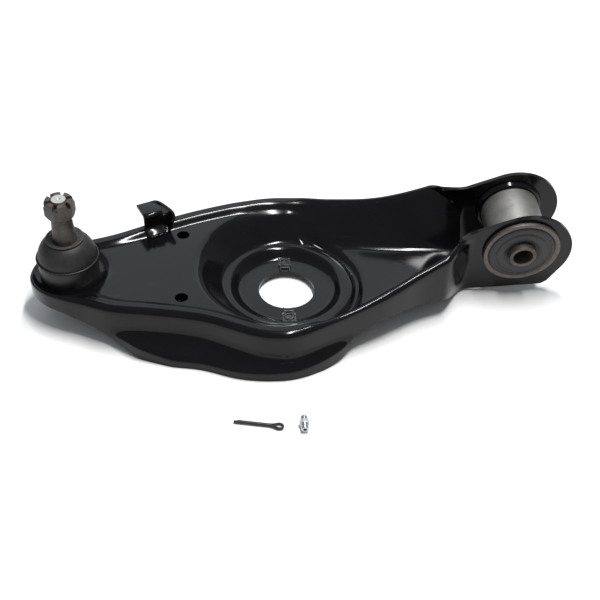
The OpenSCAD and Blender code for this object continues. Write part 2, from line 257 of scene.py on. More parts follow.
def turned(name, profile, base, axis=(0, 0, 1), count=96, sharp=SHARP, solid=False, shift=None):
    """A profile of radius and height carried round an axis through base.

    It is closed into a ring, or solid where both its ends are on the axis. shift gives what to add to radius
    and height at a radius, height and angle.
    """
    axis = np.array(axis, float)
    side = np.cross(axis, (1.0, 0, 0)) if abs(axis[0]) < 0.9 else np.array((0, 1.0, 0))
    other = np.cross(axis, side)
    a = np.linspace(0, 2 * np.pi, count, endpoint=False)
    ring = np.cos(a)[:, None] * side + np.sin(a)[:, None] * other
    profile = np.asarray(profile, float)
    if not solid:
        profile = np.concatenate([profile, profile[:1]])
    r, h = profile[:, :1] + 0 * a, profile[:, 1:] + 0 * a
    if shift is not None:
        more_r, more_h = shift(r, h, a)
        r, h = r + more_r, h + more_h
    points = np.array(base) + r[..., None] * ring + h[..., None] * axis
    faces = quads(len(profile), count, wrap=True)
    return mesh_piece(name, points.reshape(-1, 3), faces, sharp, outward=True)


def swept(name, path, shape, up=(0, 0, 1), sharp=SHARP):
    """A closed cross-section carried along a path, with flat ends.

    Each point is the path's point plus the section's first number to the path's left and its second upward.
    """
    path = np.array(path, float)
    along = np.gradient(path, axis=0)
    left = np.cross(up, along)
    left /= np.linalg.norm(left, axis=1, keepdims=True)
    rise = np.cross(along, left)
    rise /= np.linalg.norm(rise, axis=1, keepdims=True)
    shape = np.broadcast_to(shape, (len(path), *np.shape(shape)[-2:]))
    points = path[:, None] + shape[..., :1] * left[:, None] + shape[..., 1:] * rise[:, None]
    rows, cols = points.shape[:2]
    ends = [list(range(cols)), list(range((rows - 1) * cols, rows * cols))]
    faces = quads(rows, cols, wrap=True).tolist() + ends
    return mesh_piece(name, points.reshape(-1, 3), faces, sharp, outward=True)


def ellipse(wide, high, count):
    """Section of half widths wide and high: count points at even steps of angle."""
    a = np.linspace(0, 2 * np.pi, count, endpoint=False)
    return np.stack([wide * np.cos(a), high * np.sin(a)], -1)


def bevelled(obj, width):
    """Rounds the edges of a piece that turn more than 30 degrees."""
    bevel = obj.modifiers.new("edges", "BEVEL")
    bevel.width = width * MM
    bevel.segments = 2
    bevel.limit_method = "ANGLE"
    bevel.angle_limit = math.radians(30)
    return settle(obj)


def joined(name, *parts):
    """One piece made of several."""
    bm = bmesh.new()
    for part in parts:
        bm.from_mesh(part.data)
        bpy.data.objects.remove(part)
    mesh = bpy.data.meshes.new(name)
    bm.to_mesh(mesh)
    bm.free()
    return placed(name, shaded(mesh))


def softened(node, width):
    """A copy of a CAD node with its flat faces joined and its edges bevelled by width."""
    mesh = frame["nodes"][node].data.copy()
    bm = bmesh.new()
    bm.from_mesh(mesh)
    bmesh.ops.remove_doubles(bm, verts=bm.verts, dist=1e-6)
    bmesh.ops.dissolve_limit(bm, angle_limit=math.radians(1), verts=bm.verts, edges=bm.edges)
    bm.to_mesh(mesh)
    bm.free()
    return bevelled(placed(node + "_finished", mesh), width)


def finish(obj, body, slot, material, *nodes):
    """Gives a piece its material, its body (none if it bends) and the nodes it stands for; its slot is not
    used.
    """
    obj.data.materials.clear()
    obj.data.materials.append(material)
    if body:
        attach(obj, body)
    if nodes:
        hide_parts(*nodes)
    return obj


# ---------------------------------------------------------------- shader tools
class Value:
    """A number socket that takes part in arithmetic; each operation adds a Math node."""

    def __init__(self, paint, socket):
        self.paint = paint
        self.socket = socket

    def _with(self, operation, other):
        return self.paint.node("ShaderNodeMath", {"operation": operation}, {0: self, 1: other})

    def __add__(self, other):
        return self._with("ADD", other)

    def __mul__(self, other):
        return self._with("MULTIPLY", other)

    __radd__ = __add__
    __rmul__ = __mul__

    def between(self, low, high):
        """0 below low, 1 above high, smooth between."""
        return self.paint.node("ShaderNodeMapRange", {"interpolation_type": "SMOOTHSTEP"},
            {"Value": self, "From Min": low, "From Max": high})


class Paint:
    """A material under construction: a Principled shader and the nodes that feed it."""

    def __init__(self, name, **constants):
        self.material = bpy.data.materials.new(name)
        self.material.use_nodes = True
        self.nodes = self.material.node_tree.nodes
        self.links = self.material.node_tree.links
        self.shader = self.nodes["Principled BSDF"]
        self.feed(self.shader, {k.replace("_", " "): v for k, v in constants.items()})
        self.place = self.node("ShaderNodeTexCoord", {}, {}, "Object")

    def feed(self, node, inputs):
        for key, value in inputs.items():
            socket = node.inputs[key]
            if isinstance(value, Value):
                self.links.new(value.socket, socket)
            else:
                socket.default_value = value

    def node(self, kind, settings, inputs, output=0):
        """Adds a node, with its settings set first, then its sockets; gives one output."""
        made = self.nodes.new(kind)
        for key, value in settings.items():
            setattr(made, key, value)
        self.feed(made, inputs)
        return Value(self, made.outputs[output])

    def noise(self, scale, detail=3.0, roughness=0.55, stretch=None):
        """Noise of a scale per metre, from 0 to 1."""
        at = self.place if stretch is None else self.stretched(stretch)
        return self.node("ShaderNodeTexNoise", {},
            {"Vector": at, "Scale": scale, "Detail": detail, "Roughness": roughness})

    def stretched(self, factors):
        return self.node("ShaderNodeVectorMath", {"operation": "MULTIPLY"}, {0: self.place, 1: factors})

    def mixed(self, factor, a, b):
        """Colour a where factor is 0 and b where it is 1."""
        return self.node("ShaderNodeMix", {"data_type": "RGBA"}, {0: factor, 6: rgba(a), 7: rgba(b)}, 2)

    def bump(self, height, distance, strength=1.0, under=None):
        inputs = {"Height": height, "Distance": distance, "Strength": strength}
        if under is not None:
            inputs["Normal"] = under
        return self.node("ShaderNodeBump", {}, inputs)

    def wear(self, **inputs):
        """Feeds the shader's varying sockets and gives the material."""
        self.feed(self.shader, {k.replace("_", " "): v for k, v in inputs.items()})
        return self.material


def rgba(colour):
    return colour if isinstance(colour, Value) else (*colour, 1.0)


# ---------------------------------------------------------------- materials
def electrocoat():
    """Thin black coat over pressed steel: fine orange peel, cloudy gloss, dust and short scuffs."""
    p = Paint("black_electrocoat", IOR=1.5, Specular_IOR_Level=0.24)
    cloud = p.noise(18, 4)
    peel = p.noise(900, 2)
    draw = p.noise(60, 3, 0.6, (0.3, 1.0, 1.0))
    dust = p.noise(2600, 2).between(0.66, 0.74) * p.noise(40, 2).between(0.4, 0.65)
    scuff = p.noise(220, 5, 0.7, (0.12, 1.0, 1.0)).between(0.64, 0.72)
    tone = p.mixed(cloud.between(0.3, 0.7), (0.003, 0.003, 0.0036), (0.0046, 0.0046, 0.0055))
    tone = p.mixed(dust * 0.35 + scuff * 0.12, tone, (0.09, 0.09, 0.095))
    rough = 0.09 + cloud * 0.06 + scuff * 0.14 + dust * 0.2
    normal = p.bump(peel, 0.00002, 0.35)
    normal = p.bump(draw, 0.00012, 0.25, normal)
    return p.wear(Base_Color=tone, Roughness=rough, Normal=normal)


def drawn_steel():
    """Bare drawn tube: dull grey, with fine rings round the bushing's axis and a little staining."""
    p = Paint("drawn_steel", IOR=2.2)
    rings = p.noise(900, 2, 0.5, (0.02, 1.0, 0.02))
    stain = p.noise(55, 5, 0.6)
    tone = p.mixed(stain.between(0.35, 0.7), (0.25, 0.247, 0.238), (0.17, 0.163, 0.15))
    rough = 0.4 + stain * 0.16 + rings * 0.08
    return p.wear(Base_Color=tone, Roughness=rough, Metallic=0.75, Normal=p.bump(rings, 0.00003, 0.5))


def cut_steel():
    """Bright sheared steel: fine scratches one way, a little haze."""
    p = Paint("cut_steel", IOR=2.4)
    lines = p.noise(1500, 3, 0.6, (1.0, 0.08, 1.0))
    tone = p.mixed(lines, (0.62, 0.61, 0.59), (0.45, 0.44, 0.43))
    return p.wear(Base_Color=tone, Roughness=0.32 + lines * 0.2, Metallic=0.85,
        Normal=p.bump(lines, 0.00003, 0.5))


def phosphate():
    """Brown-black phosphate on forged steel: grainy, dull, paler where it is rubbed."""
    p = Paint("brown_phosphate", IOR=1.6)
    grain = p.noise(2200, 4, 0.7)
    patch = p.noise(140, 4, 0.6)
    tone = p.mixed(patch.between(0.35, 0.68), (0.042, 0.035, 0.029), (0.085, 0.073, 0.062))
    tone = p.mixed(grain.between(0.6, 0.72) * 0.5, tone, (0.17, 0.15, 0.13))
    return p.wear(Base_Color=tone, Roughness=0.42 + patch * 0.2, Metallic=0.35,
        Normal=p.bump(grain, 0.00006, 0.6))


def housing_black():
    """Satin black on the machined housing, with faint turning marks."""
    p = Paint("housing_black", IOR=1.5)
    turning = p.noise(1500, 2, 0.5, (0.05, 0.05, 1.0))
    patch = p.noise(120, 4, 0.6)
    tone = p.mixed(patch.between(0.3, 0.7), (0.008, 0.0075, 0.008), (0.016, 0.014, 0.014))
    return p.wear(Base_Color=tone, Roughness=0.34 + patch * 0.16, Normal=p.bump(turning, 0.00004, 0.5))


def boot_rubber():
    """Matt moulded rubber: fine pores, mould bloom."""
    p = Paint("boot_rubber", IOR=1.45)
    pores = p.noise(3200, 3, 0.6)
    bloom = p.noise(90, 4, 0.6)
    tone = p.mixed(bloom.between(0.35, 0.7), (0.012, 0.011, 0.0115), (0.022, 0.021, 0.0215))
    return p.wear(Base_Color=tone, Roughness=0.46 + bloom * 0.18, Normal=p.bump(pores, 0.00004, 0.5))


def pale_rubber():
    """The same rubber with talc on the seal ring's face."""
    p = Paint("talced_rubber", IOR=1.45)
    talc = p.noise(400, 5, 0.65)
    tone = p.mixed(talc.between(0.35, 0.65), (0.03, 0.031, 0.033), (0.06, 0.061, 0.064))
    return p.wear(Base_Color=tone, Roughness=0.62 + talc * 0.15, Normal=p.bump(talc, 0.00008, 0.4))


def bushing_rubber():
    """Grey-black bonded rubber with mould flow lines."""
    p = Paint("bonded_rubber", IOR=1.45)
    flow = p.noise(260, 5, 0.7)
    fine = p.noise(2600, 3)
    tone = p.mixed(flow.between(0.35, 0.68), (0.02, 0.0195, 0.019), (0.034, 0.033, 0.032))
    return p.wear(Base_Color=tone, Roughness=0.5 + flow * 0.18, Normal=p.bump(fine, 0.00004, 0.5))


def worn_bronze():
    """Grey-brown steel of the flange and sleeve: oiled, slightly rusted in the low spots."""
    p = Paint("oiled_steel", IOR=1.8)
    spots = p.noise(500, 5, 0.65)
    tone = p.mixed(spots.between(0.35, 0.7), (0.12, 0.108, 0.096), (0.07, 0.058, 0.048))
    return p.wear(Base_Color=tone, Roughness=0.4 + spots * 0.25, Metallic=0.7,
        Normal=p.bump(spots, 0.00005, 0.5))


def black_oxide(name, wear_and_glint_grey):
    """Thin black oxide on spring steel, lightened to a grey at random spots: faint rubbed wear where that
    grey is dark, painted glints where it is light.
    """
    p = Paint(name, IOR=1.7)
    wear_and_glint_spots = p.noise(700, 4, 0.6)
    # Noise spots lifted to the given grey: rubbed wear at a dark grey, painted glints at a light grey
    tone = p.mixed(wear_and_glint_spots.between(0.52, 0.72), (0.01, 0.01, 0.011), (wear_and_glint_grey, wear_and_glint_grey, 1.05 * wear_and_glint_grey))
    return p.wear(Base_Color=tone, Roughness=0.3 + wear_and_glint_spots * 0.2, Metallic=0.4,
        Normal=p.bump(wear_and_glint_spots, 0.00003, 0.4))


def zinc():
    """Bright zinc plate with a light crystalline haze."""
    p = Paint("zinc_plate")
    haze = p.noise(1200, 4, 0.6)
    tone = p.mixed(haze.between(0.35, 0.7), (0.55, 0.56, 0.58), (0.38, 0.385, 0.4))
    return p.wear(Base_Color=tone, Roughness=0.22 + haze * 0.2, Metallic=1.0,
        Normal=p.bump(haze, 0.00002, 0.4))


def acetal():
    """Natural polymer of the ball seats: waxy off-white with faint flow."""
    p = Paint("seat_acetal", IOR=1.48)
    flow = p.noise(150, 4, 0.6)
    tone = p.mixed(flow, (0.6, 0.58, 0.52), (0.5, 0.48, 0.42))
    return p.wear(Base_Color=tone, Roughness=0.35 + flow * 0.15, Normal=p.bump(flow, 0.00003, 0.3))


def ground_paint():
    """Pale, plain and matt."""
    p = Paint("pale_floor", Specular_IOR_Level=0.0, Roughness=0.9)
    return p.wear(Base_Color=(0.93, 0.93, 0.93, 1.0))


COAT = electrocoat()
STEEL = drawn_steel()
BRIGHT = cut_steel()
PHOSPHATE = phosphate()
HOUSING = housing_black()
BOOT = boot_rubber()
TALC = pale_rubber()
BONDED = bushing_rubber()
OILED = worn_bronze()
OXIDE = black_oxide("black_oxide", 0.07)
# Clip nuts' oxide: its light grey spots are painted glints
PAINTED_GLINT_OXIDE = black_oxide("painted_glint_oxide", 0.3)
ZINC = zinc()
ACETAL = acetal()

# ---------------------------------------------------------------- stamping
RAIL_LINE = through(BACK_LINE + FRONT_LINE, 700)


def off_rail(x, y):
    """Distance in plan from each point to the shoulder line: the least over the line's segments."""
    a, b = RAIL_LINE[:-1], RAIL_LINE[1:]
    run = b - a
    flat = np.stack([np.ravel(x), np.ravel(y)], -1)
    best = np.full(len(flat), np.inf)
    for part in np.array_split(np.arange(len(flat)), 1 + len(flat) // 4000):
        gap = flat[part, None] - a
        t = np.clip((gap * run).sum(-1) / (run**2).sum(-1), 0, 1)
        best[part] = np.linalg.norm(gap - t[..., None] * run, axis=-1).min(1)
    return best.reshape(np.shape(x))


def channel_height(x, y):
    """Web between two walls that rise in straight lines to the rails' inner edges, with a small fillet."""
    web = eased(x, *WEB_Z)
    top = eased(x, *RAIL_TOP) - 1
    ends = [eased(x, CHANNEL_X, row, CHANNEL_BLUR) for row in (WEB_FRONT, WEB_BACK, RAIL_FRONT, RAIL_BACK)]
    front = (ends[0] - y) / (ends[0] - ends[2])
    back = (y - ends[1]) / (ends[3] - ends[1])
    rise = sum(0.5 * (t + np.sqrt(t * t + 0.012)) for t in (front, back))
    return web + (top - web) * rise + 0.022 * np.maximum(0, 30 - x) ** 2


def top_height(x, y):
    """Upper face: the lower of rail and deck, the dish round the ball joint, the pocket and the channel."""
    r = np.hypot(x, y)
    rail = eased(x, *RAIL_TOP)
    inset = step((off_rail(x, y) - RAIL_FLAT) / RAIL_FALL) * (1 - step((x - DECK_END) / DECK_FADE))
    base = rail + (DECK - rail) * inset
    dish = DISH_Z + DISH_SLOPE * np.maximum(0, np.hypot(x - STUD[0], y - STUD[1]) - DISH_R)
    pocket = eased(r, *POCKET)
    channel = channel_height(x, y)
    void = lower_of(pocket, channel, 4 + 12 * step((np.minimum(pocket, channel) - 12) / 14))
    void = void - 4.5 * np.exp(-(((r - 71) / 4.5) ** 2)) * step((x - 5) / 30) * step((30 - void) / 12)
    return lower_of(lower_of(base, dish, 3), void, 7)


def pierced(points, faces, centre, radius):
    """Drops the faces inside a circle in plan, and draws their corners out onto it."""
    gap = points[:, :2] - centre
    r = np.linalg.norm(gap, axis=1)
    inside = r < radius
    faces = faces[~inside[faces].all(1)]
    points[inside, :2] = centre + gap[inside] * (radius / np.maximum(r[inside], 1e-6))[:, None]
    return points, faces


def pressed_deck():
    """Grid between the rail's flat and the shock hole.

    Columns run round the arm. Rows go from the rail's flat in straight lines to a circle outside the pocket,
    then in circles down to the hole. Heights come from top_height.
    """
    count = 520
    inner = RAIL_LINE + FLAT_INSET * left_of(RAIL_LINE)
    loop = through(np.concatenate([inner[::14], WEB_END]), count, closed=True)
    turn = np.unwrap(np.arctan2(loop[:, 1], loop[:, 0]))
    even = np.linspace(turn[0], turn[0] + 2 * np.pi, count, endpoint=False)
    angle = 0.65 * turn + 0.35 * even
    circle = np.stack([np.cos(angle), np.sin(angle)], -1)
    t = np.linspace(0, 1, 46)[:, None, None]
    outer = (1 - t) * loop + t * POCKET_RIM * circle
    radii = np.concatenate([np.linspace(POCKET_RIM, POCKET_FLOOR, 30)[1:],
        np.linspace(POCKET_FLOOR, SHOCK_R, 8)[1:]])
    plan = np.concatenate([outer, radii[:, None, None] * circle])
    z = top_height(plan[..., 0], plan[..., 1])
    points = np.concatenate([plan, z[..., None]], -1).reshape(-1, 3)
    faces = quads(len(plan), count, wrap=True)
    for side in (-1, 1):
        points, faces = pierced(points, faces, STRUTS + (0, side * STRUT_HALF), STRUT_R)
    obj = mesh_piece("pressed_deck", points, faces)
    thicken(obj, SHEET)
    return finish(obj, "arm", "black_paint", COAT, "arm_stamping")


def ear_edges(x):
    """Top and bottom edges of an ear against X: two lines into an arc, and four lines into the same arc."""
    arc = np.sqrt(np.maximum(0, EAR_R**2 - (x - EAR_C[0]) ** 2))
    top = np.where(x < EAR_TOP[0][-1], np.interp(x, *EAR_TOP), EAR_C[1] + arc)
    bottom = np.where(x > EAR_LOW[0][-1], EAR_C[1] - arc, np.interp(x, *EAR_LOW))
    return top, bottom


def section_rows(x):
    """Inset and height of the side wall's rows, at each x.

    A flat, a quarter round, a wall straight down, a flare whose slope is a power that fades out, and a lip.
    """
    rail, roll, foot = eased(x, *RAIL_TOP), eased(x, *ROLL_R), eased(x, *FOOT)
    out, ledge, run = eased(x, *LIP_OUT), eased(x, *LEDGE), eased(x, *LEDGE_RUN)
    flat = np.linspace(0, 1, FLAT_ROWS)[:, None]
    a, wall, spread, low = (np.linspace(0, end, count + 1)[1:, None]
        for end, count in ((np.pi / 2, ROLL_ROWS), (1, WALL_ROWS), (1, FLARE_ROWS), (1, LIP_ROWS)))
    roll_z = rail - roll * (1 - np.cos(a))
    wall_end = np.maximum(ledge + 0.5 * run * (out > 0.1), foot + 1)
    run = np.minimum(run, wall_end - foot - 0.5)
    slope = spread**1.3 * (1 - step((spread - 0.76) / 0.24))
    flare = np.cumsum(slope, axis=0) / slope.sum()
    rows = [(FLAT_INSET + (roll - FLAT_INSET) * flat, rail + 0 * flat),
        (roll * (1 - np.sin(a)), roll_z),
        (0 * wall + 0 * x, roll_z[-1] + (wall_end - roll_z[-1]) * wall),
        (-out * flare, wall_end - run * spread),
        (-out + 0 * low, wall_end - run + (foot - wall_end + run) * low)]
    inset, z = (np.concatenate(part) for part in zip(*rows))
    return inset, z


def wall_points(line, x):
    """Side wall below the shoulder line, as rows by columns of points; x sets the tables."""
    inset, z = section_rows(x)
    plan = line + inset[..., None] * left_of(line)
    upper = FLAT_ROWS + ROLL_ROWS
    top = top_height(plan[:upper, :, 0], plan[:upper, :, 1])
    rail = eased(x, *RAIL_TOP)
    z[:upper] = z[:upper] - rail + np.minimum(top, rail)
    return np.concatenate([plan, z[..., None]], -1)


def ear_points(x, side, share):
    """Ear's outer face: columns at x from the pivot, rows by their share of the way down."""
    top, bottom = ear_edges(x)
    h = top + (bottom - top) * share[:, None]
    return PIVOT + x[:, None] * (1.0, 0, 0) + side * EAR_HALF * AXIS + h[..., None] * SQUARE


def pressed_walls():
    """Side walls and ears in one strip, from the rear ear's end round the nose to the front ear's end.

    Each column is the shoulder's section. Towards the pivot the columns turn smoothly into the ears' planes.
    """
    line = through(BACK_LINE + FRONT_LINE, 430)
    strips = [wall_points(line, line[:, 0])]
    share = np.concatenate([np.linspace(0, 0.05, FLAT_ROWS), np.linspace(0.06, 0.16, ROLL_ROWS),
        np.linspace(0.2, 1, WALL_ROWS + FLARE_ROWS + LIP_ROWS)])
    start = line[-1, 0] - PIVOT[0]
    end = EAR_C[0] + EAR_R - 0.02
    even_to = -40
    even = start + (even_to - start) * np.linspace(0, 1, 26)[1:]
    closing = even_to + (end - even_to) * np.sin(0.5 * np.pi * np.linspace(0, 1, 60)[1:])
    x = np.concatenate([even, closing])
    for side, edge, run in ((-1, -1, line[-1] - line[-3]), (1, 0, line[0] - line[2])):
        run = run / abs(run[0])
        straight = line[edge] + (x - start)[:, None] * run
        rail_like = wall_points(straight if side < 0 else straight[::-1], straight[:: -side, 0])
        rail_like = rail_like if side < 0 else rail_like[:, ::-1]
        ear = ear_points(x, side, share)
        mix = step((x - start) / (EAR_FLAT_FROM - start))[None, :, None]
        patch = (1 - mix) * rail_like + mix * ear
        strips = strips + [patch] if side < 0 else [patch[:, ::-1]] + strips
    points = np.concatenate(strips, axis=1)
    rows, cols = points.shape[:2]
    points = points.reshape(-1, 3)
    faces = quads(rows, cols, flip=True)
    about = points - PIVOT
    along = about @ AXIS
    across = about - along[:, None] * AXIS
    r = np.linalg.norm(across, axis=1)
    inside = r < EAR_HOLE_R
    faces = faces[~inside[faces].all(1)]
    scale = np.where(inside, EAR_HOLE_R / np.maximum(r, 1e-6), 1)
    points = PIVOT + along[:, None] * AXIS + across * scale[:, None]
    obj = mesh_piece("pressed_walls", points, faces)
    loose = bmesh.new()
    loose.from_mesh(obj.data)
    bmesh.ops.delete(loose, geom=[v for v in loose.verts if not v.link_faces], context="VERTS")
    bmesh.ops.dissolve_degenerate(loose, edges=loose.edges, dist=1e-6)
    loose.to_mesh(obj.data)
    loose.free()
    thicken(obj, SHEET)
    return finish(obj, "arm", "black_paint", COAT)


pressed_deck()
pressed_walls()

# ---------------------------------------------------------------- bracket and clips
BRACKET = (-132.9, 56.2)
BRACKET_TURN = math.radians(24)
PLATE = 2.8


def at_bracket(points):
    """Points given along the bend, across it and up from the deck, placed on the arm."""
    p = np.asarray(points, float)
    c, s = math.cos(BRACKET_TURN), math.sin(BRACKET_TURN)
    return np.stack([BRACKET[0] + p[..., 0] * c - p[..., 1] * s, BRACKET[1] + p[..., 0] * s + p[..., 1] * c,
        DECK + p[..., 2]], -1)


def bracket():
    """Bent plate swept along its bend, its wall carried on, and a wing.

    The wing is straight lines from an upper to a lower curve.
    """
    fold = [(-9.8, -0.3), (-5, 2.1), (0, 4.6), (0, 20), (19, 20), (19, 23), (-3, 23), (-3, 7.2), (-5.6, 5.2),
        (-10.2, 2.7)]
    radius = np.array([0.4, 2, 1, 1.6, 0.5, 0.5, 4, 3, 3, 0.4])[:, None]
    plate = swept("plate", at_bracket([(x, 0, 0) for x in (-10, 0, 10)]), rounded(fold, radius))
    wall = rounded([(-PLATE, 4), (0, 4), (0, 18), (-PLATE, 18)], 0.5)
    more_wall = swept("more_wall", at_bracket([(x, 0, 0) for x in (9, 12, 15.5)]), wall)
    high = through([(9, 19, 23), (13.5, 15.5, 23), (18, 4, 22.5), (21, -5, 20.5), (20.5, -10, 17),
        (17.5, -12, 13)], 28)
    low = through([(9, 17, 4.6), (12.5, 12, 4.6), (15, 4, 4.6), (16.3, -3, 3.6), (15.5, -8, 2),
        (13.4, -10.3, 0.8)], 28)
    t = np.linspace(0, 1, 9)[:, None, None]
    grid = at_bracket((1 - t) * high + t * low)
    wing = mesh_piece("wing", grid.reshape(-1, 3), quads(len(t), len(high)))
    thicken(wing, PLATE)
    piece = joined("bracket_plate", plate, more_wall, wing)
    finish(bevelled(piece, 0.35), "arm", "black_paint", COAT, "bump_bracket")


def weld_bead():
    """Round bead along the foot's edge: its radius ripples as a sine and tapers at both ends."""
    s = np.linspace(-9.5, 9.5, 110)
    size = (1.75 + 0.4 * np.abs(np.sin(np.pi * s / 2.3)) + 0.2 * np.sin(1.7 * s)) * (1 - np.abs(s / 9.8) ** 8)
    path = at_bracket(np.stack([s, -10.4 + 0.25 * np.sin(2.1 * s), 0.9 + 0 * s], -1))
    bead = swept("weld_bead", path, size[:, None, None] * ellipse(1, 0.9, 18), sharp=60)
    finish(bead, "arm", "black_paint", COAT, "bracket_welds")


def clip_nut(name, side):
    """Folded spring strip, with a collar above it, a thread barrel below it, and ribs towards the hole.

    The strip's fold is on the side away from the hole. On a real nut it goes over the hole's edge.
    """
    centre = np.array((0.0, side * CLIP_HALF, 0.0))
    fold = [(5.5, 0), (5.5, 1.9), (4.4, 1.9), (3.9, 1.2), (-16, 1.2), (-16, -5.2), (5.5, -5.2), (5.5, -4),
        (-14.8, -4), (-14.8, 0)]
    radius = np.array([0.2, 0.4, 0.4, 0.6, 1.4, 1.4, 0.3, 0.3, 0.5, 0.5])[:, None]
    strip = swept("strip", [centre + (-side * x, 0, 0) for x in (-6.4, 0, 6.4)], rounded(fold, radius))
    collar = rounded([(3.2, 0.8), (5.4, 0.8), (4.9, 2.3), (3.4, 2.3)], 0.4)
    barrel = rounded([(3.4, -9), (5.2, -9), (5.2, -5), (3.4, -5)], 0.4)
    parts = [strip, turned("collar", collar, centre, count=40), turned("barrel", barrel, centre, count=40)]
    rib = ellipse(0.9, 0.7, 12)
    steps = np.arange(12)
    size = np.minimum(1, 0.3 + 0.35 * np.minimum(steps, steps[::-1]))
    for x in (-4.6, 4.6):
        run = [centre + (x, -side * t, 1.2) for t in np.linspace(-2.5, 14.5, len(steps))]
        parts.append(swept("rib", run, size[:, None, None] * rib))
    cross = [centre + (t, -side * 8.5, 1.2) for t in np.linspace(-4.6, 4.6, 8)]
    parts.append(swept("rib", cross, rib))
    # The clip wears the oxide whose light grey spots are painted glints
    finish(joined(name + "_spring", *parts), "arm", "black_oxide", PAINTED_GLINT_OXIDE, name)


bracket()
weld_bead()
clip_nut("front_clip_nut", -1)
clip_nut("rear_clip_nut", 1)

# ---------------------------------------------------------------- pivot bushing


def round_pivot(name, profile, radius, **more):
    """Ring turned about the pivot's axis; heights run from the front to the back."""
    return turned(name, rounded(profile, radius), PIVOT, AXIS, **more)


def pivot_bushing():
    """Barrel and flange, rubber with a moat, sleeve with serrated ends, and the ears' collars."""
    barrel = round_pivot("bushing_barrel", [(26.5, -35), (26.5, 34.5), (29, 34.5), (29, -35)], 0.5)
    finish(barrel, "arm", "bare_steel", STEEL, "bushing_outer_shell")
    lip = [(28.9, -33.05), (38, -33.05), (38, -37.2), (36.6, -37.6), (33.4, -36.8), (32.6, -35.6),
        (28.9, -35.6)]
    finish(round_pivot("bushing_flange", lip, 1.0), "arm", "bare_steel", OILED)
    face = [(13.35, 31), (15, 32.8), (24.5, 32.8), (26.45, 31), (26.45, -35.65), (33, -35.65), (32.6, -37),
        (30, -38.2), (28.8, -37.2), (25.6, -37.2), (24.4, -38.4), (18.5, -38.4), (15.6, -37), (13.35, -36.4)]
    finish(round_pivot("bushing_block", face, 0.9), "arm", "black_rubber", BONDED, "bushing_rubber")
    tube = [(9.75, -43.9), (9.75, 43.9), (13.2, 43.9), (13.2, -43.9)]

    def serrated(r, h, a):
        tooth = 0.28 * np.sign(h) * (np.abs(h) > 43.4)
        return 0 * r, tooth * np.sin(30 * a) - tooth

    sleeve = round_pivot("sleeve", tube, 0.35, count=240, shift=serrated)
    finish(sleeve, "pivot_sleeve", "bare_steel", OILED, "bushing_inner_sleeve")
    for name, inner, outer in (("front_ear_collar", -24, -32), ("back_ear_collar", 24, 32)):
        roll = [(29.05, outer), (35, outer), (32.2, inner + 0.6 * np.sign(outer)), (29.05, inner)]
        finish(round_pivot(name, roll, 1.2), "arm", "black_paint", COAT)


# ---------------------------------------------------------------- ball joint
BALL = 36.0
BALL_R = 14.85
NUT = 101.0
STUD_TOP = 119.0
THREAD_R = 7.5
PITCH = 1.41


def ball_joint():
    """Housing, boot, dished ring, stud with thread and cross hole, and castle nut.

    The boot is a curve carried round with a wall inside it. The thread is a sine of height less angle.
    """
    base = (*STUD, 0.0)
    finish(softened("ball_joint_housing", 0.6), "arm", "dark_phosphate", HOUSING, "ball_joint_housing")
    foot = 51.15
    bell = through([(28.4, foot), (28.75, 52.3), (28.1, 53.6), (27.9, 56), (27.1, 59.5), (25, 64.6),
        (22.2, 68.8), (19.2, 71.6), (17.3, 72.7)], 44)
    wall = bell + 2.0 * left_of(bell)
    wall[:, 1] = np.maximum(wall[:, 1], foot)
    boot = turned("boot_bell", np.concatenate([bell, wall[::-1]]), base, sharp=60)
    finish(boot, None, "black_rubber", BOOT, "dust_boot")
    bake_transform(boot)
    dish = [(11.6, 69.6), (11.4, 72.4), (14, 73.6), (17.2, 75.6), (18.2, 75), (18, 73.7), (13.8, 70.7),
        (13.8, 69.6)]
    finish(turned("boot_lip", rounded(dish, 0.6), base), "seal_ring", "black_rubber", TALC, "boot_upper_ring")

    a = np.linspace(-np.pi / 2, 0.9, 40)
    ball = np.stack([BALL_R * np.cos(a), BALL + BALL_R * np.sin(a)], -1)
    neck = through([(9, BALL + 12.5), (9, BALL + 20), (10.6, BALL + 26), (11.9, BALL + 29), (11.8, BALL + 33),
        (9.3, NUT)], 40)
    h = np.linspace(NUT, STUD_TOP - 1.2, 96)
    thread = np.stack([THREAD_R + 0 * h, h], -1)
    end = [(6.9, STUD_TOP - 0.2), (6.6, STUD_TOP), (1.9, STUD_TOP), (0.9, STUD_TOP - 1.1),
        (0, STUD_TOP - 1.3)]
    profile = np.concatenate([[(0, BALL - BALL_R)], ball[1:], neck, thread, end])

    def helix(r, h, a):
        on = step((h - NUT - 0.3) / 0.8) * step((STUD_TOP - 1 - h) / 0.8)
        return on * 0.38 * np.sin(2 * np.pi * h / PITCH - a), 0 * h

    stud = turned("threaded_stud", profile, base, solid=True, shift=helix)
    turn = math.radians(20)
    cutter = turned("cutter", [(0, -12), (1.9, -12), (1.9, 12), (0, 12)], (*STUD, NUT + 14.5),
        (math.cos(turn), math.sin(turn), 0), count=24, solid=True)
    hole = stud.modifiers.new("cross_hole", "BOOLEAN")
    hole.object = cutter
    hole.solver = "EXACT"
    settle(stud)
    bpy.data.objects.remove(cutter)
    finish(stud, "stud", "dark_phosphate", PHOSPHATE, "ball_stud")
    disc = [(0, STUD_TOP - 1.15), (0.9, STUD_TOP - 0.95), (1.9, STUD_TOP + 0.04), (6.5, STUD_TOP + 0.04),
        (6.7, STUD_TOP - 0.2), (6, STUD_TOP - 0.5), (0, STUD_TOP - 1.9)]
    finish(turned("stud_end", disc, base, solid=True), "stud", "bare_steel", BRIGHT)
    finish(softened("castle_nut", 0.5), "nut", "dark_phosphate", PHOSPHATE, "castle_nut")


# ---------------------------------------------------------------- loose parts


